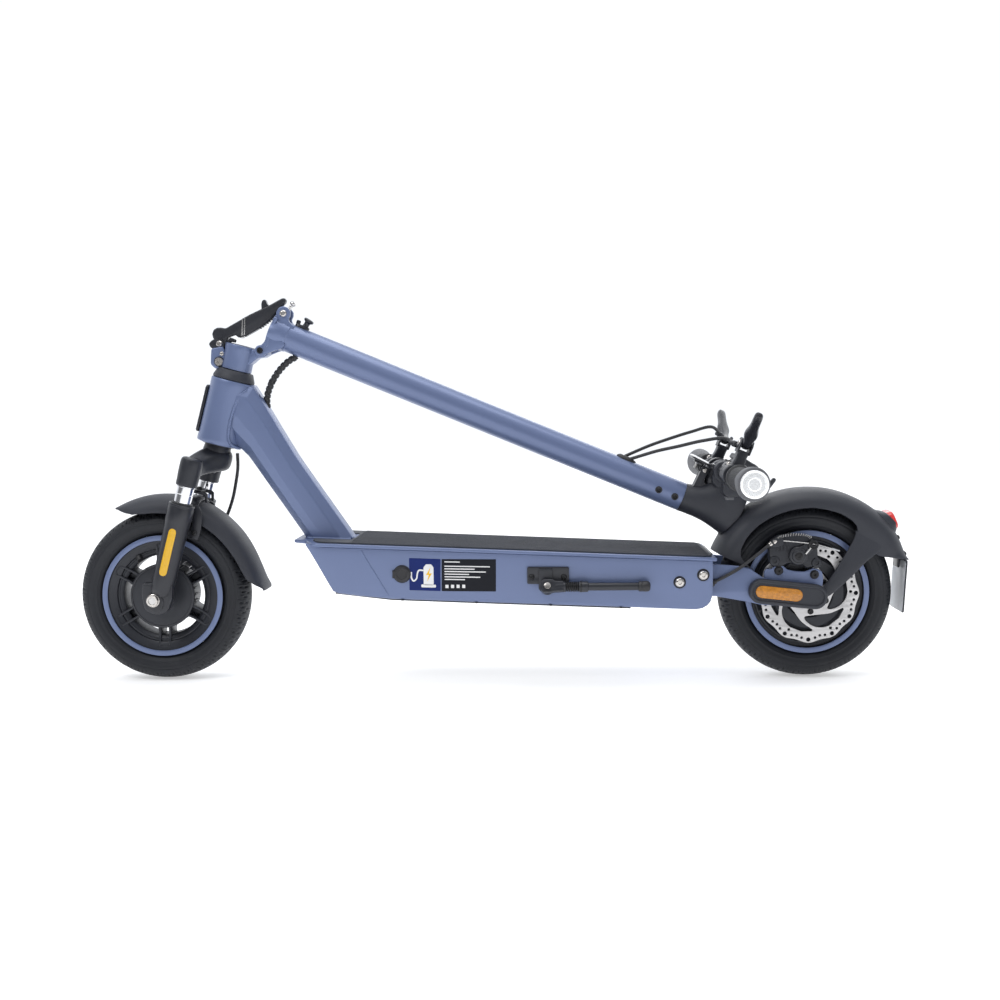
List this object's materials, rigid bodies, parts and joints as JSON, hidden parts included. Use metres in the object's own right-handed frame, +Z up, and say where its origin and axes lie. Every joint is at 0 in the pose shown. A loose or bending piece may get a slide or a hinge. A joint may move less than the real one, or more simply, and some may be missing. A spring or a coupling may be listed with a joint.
{
  "type": "electric kick scooter",
  "caption": "Folding electric kick scooter with its stem folded back over the rear mudguard, sprung fork, hub motor, disc and drum brakes, and a side stand.",
  "frame": {"origin": "under the middle of the folded scooter, on the ground plane", "axes": "+X to the rear wheel, +Y to the rider's right, +Z up"},
  "size_m": [1.2202, 0.6, 0.5688],
  "materials": {
    "frame_paint": "satin lavender-blue paint",
    "black_plastic": "fine-textured black moulding",
    "black_metal": "satin black",
    "black_alloy": "satin black",
    "tyre_rubber": "treaded rubber",
    "rubber": "ribbed rubber",
    "steel": "machined",
    "chrome": "polished",
    "lens_clear": "clear ribbed lens",
    "lens_red": "red prismatic lens",
    "plate_silver": "reflective sheet",
    "pack_wrap": "shrink wrap",
    "aluminium": "cast"
  },
  "bodies": {
    "root": {"head_tube": "frame_paint", "headset_bearings": "steel", "down_tube": "frame_paint", "deck_shell": "frame_paint", "deck_mat": "rubber", "bottom_cover": "black_plastic", "battery_pack": "pack_wrap", "motor_controller": "aluminium", "stand_bracket": "black_metal", "rear_arms": "frame_paint", "frame_screws": "chrome", "rear_axle": "steel", "axle_covers": "black_plastic", "rear_fender": "black_plastic", "tail_light": "lens_red", "number_plate": "plate_silver", "brake_caliper": "black_alloy", "rear_brake_cable": "rubber", "motor_stator": "aluminium"},
    "charge_cap": {"charge_cap": "black_plastic"},
    "stand": {"stand_leg": "black_metal"},
    "rear_wheel": {"rear_tyre": "tyre_rubber", "hub_motor_shell": "black_alloy", "rear_wheel_bearings": "steel", "brake_rotor": "steel"},
    "caliper_arm": {"caliper_arm": "black_metal"},
    "steering": {"fork_crown": "black_alloy", "fork_stanchions": "chrome", "headset_cover": "black_plastic", "fold_base": "frame_paint", "fold_pin": "steel", "latch_bracket": "black_metal", "cable_loom": "rubber"},
    "latch": {"latch_lever": "black_alloy"},
    "fork_lower": {"lower_legs": "black_alloy", "front_axle": "steel", "front_fender": "black_plastic", "drum_brake_plate": "black_alloy", "front_brake_cable": "rubber"},
    "front_wheel": {"front_tyre": "tyre_rubber", "front_rim": "black_alloy", "front_wheel_bearings": "steel"},
    "drum_arm": {"drum_brake_arm": "black_metal"},
    "stem": {"stem_tube": "frame_paint", "clevis_pin": "steel", "neck_cover": "black_plastic", "handlebar": "black_alloy", "grips": "rubber", "bar_end_lights": "lens_clear", "lever_perches": "black_alloy", "switch_pods": "black_plastic", "display": "black_plastic", "bell_body": "black_plastic", "headlight": "black_alloy", "lever_cables": "rubber"},
    "left_lever": {"left_brake_lever": "black_alloy"},
    "right_lever": {"right_brake_lever": "black_alloy"},
    "signal_button": {"signal_button": "black_plastic"},
    "throttle": {"throttle_lever": "black_plastic"},
    "bell_lever": {"bell_lever": "black_plastic"}
  },
  "joints": [
    {"name": "steer", "type": "hinge", "parent": "root", "child": "steering", "pos_m": [-0.3745, 0, 0.4448], "axis": [0.2588, 0, 0.9659], "range_deg": [-40, 40], "deforming": ["cable_loom"]},
    {"name": "stem_fold", "type": "hinge", "parent": "steering", "child": "stem", "pos_m": [-0.3295, 0, 0.4876], "axis": [0, -1, 0], "range_deg": [0, 97.6], "deforming": ["cable_loom"]},
    {"name": "latch_swing", "type": "hinge", "parent": "steering", "child": "latch", "pos_m": [-0.3923, 0, 0.4986], "axis": [0, -1, 0], "range_deg": [0, 78.1]},
    {"name": "fork_suspension", "type": "slide", "parent": "steering", "child": "fork_lower", "axis": [0.2588, 0, 0.9659], "range_m": [0, 0.022], "stiffness_N_per_m": 12000, "springref_m": -0.012, "deforming": ["front_brake_cable"]},
    {"name": "front_wheel_spin", "type": "hinge", "parent": "fork_lower", "child": "front_wheel", "pos_m": [-0.4831, 0, 0.127], "axis": [0, 1, 0], "continuous": true},
    {"name": "rear_wheel_spin", "type": "hinge", "parent": "root", "child": "rear_wheel", "pos_m": [0.4669, 0, 0.127], "axis": [0, 1, 0], "continuous": true},
    {"name": "side_stand", "type": "hinge", "parent": "root", "child": "stand", "pos_m": [0.0885, -0.0985, 0.1472], "axis": [0, 0.9397, -0.342], "range_deg": [0, 95]},
    {"name": "left_lever_pull", "type": "hinge", "parent": "stem", "child": "left_lever", "pos_m": [0.36558, -0.104, 0.34547], "axis": [0.9232, 0, -0.3843], "range_deg": [0, 20], "stiffness_Nm_per_rad": 0.6, "springref_deg": -20.05},
    {"name": "right_lever_pull", "type": "hinge", "parent": "stem", "child": "right_lever", "pos_m": [0.36558, 0.104, 0.34547], "axis": [-0.9232, 0, 0.3843], "range_deg": [0, 20], "stiffness_Nm_per_rad": 0.6, "springref_deg": -20.05},
    {"name": "caliper_arm_pull", "type": "hinge", "parent": "root", "child": "caliper_arm", "pos_m": [0.4476, -0.062, 0.1843], "axis": [0, -1, 0], "range_deg": [0, 20]},
    {"name": "drum_arm_pull", "type": "hinge", "parent": "fork_lower", "child": "drum_arm", "pos_m": [-0.4731, 0.032, 0.158], "axis": [0, -1, 0], "range_deg": [0, 20]},
    {"name": "throttle_press", "type": "hinge", "parent": "stem", "child": "throttle", "pos_m": [0.3479, 0.069, 0.303], "axis": [0, 1, 0], "range_deg": [0, 30], "stiffness_Nm_per_rad": 0.1, "springref_deg": -11.46},
    {"name": "signal_press", "type": "slide", "parent": "stem", "child": "signal_button", "axis": [-1, 0, 0], "range_m": [0, 0.0015], "stiffness_N_per_m": 600, "springref_m": -0.001},
    {"name": "bell_flick", "type": "hinge", "parent": "stem", "child": "bell_lever", "pos_m": [0.38704, -0.1495, 0.28671], "axis": [0, 1, 0], "range_deg": [0, 20], "stiffness_Nm_per_rad": 0.02, "springref_deg": -17.19},
    {"name": "charge_cap_open", "type": "hinge", "parent": "root", "child": "charge_cap", "pos_m": [-0.1311, -0.0895, 0.1652], "axis": [0, 0, -1], "range_deg": [0, 100]}
  ],
  "couplings": [
    {"joint": "latch_swing", "follows": "stem_fold", "ratio": 0.8},
    {"joint": "caliper_arm_pull", "follows": "left_lever_pull", "ratio": 1},
    {"joint": "drum_arm_pull", "follows": "right_lever_pull", "ratio": 1}
  ]
}
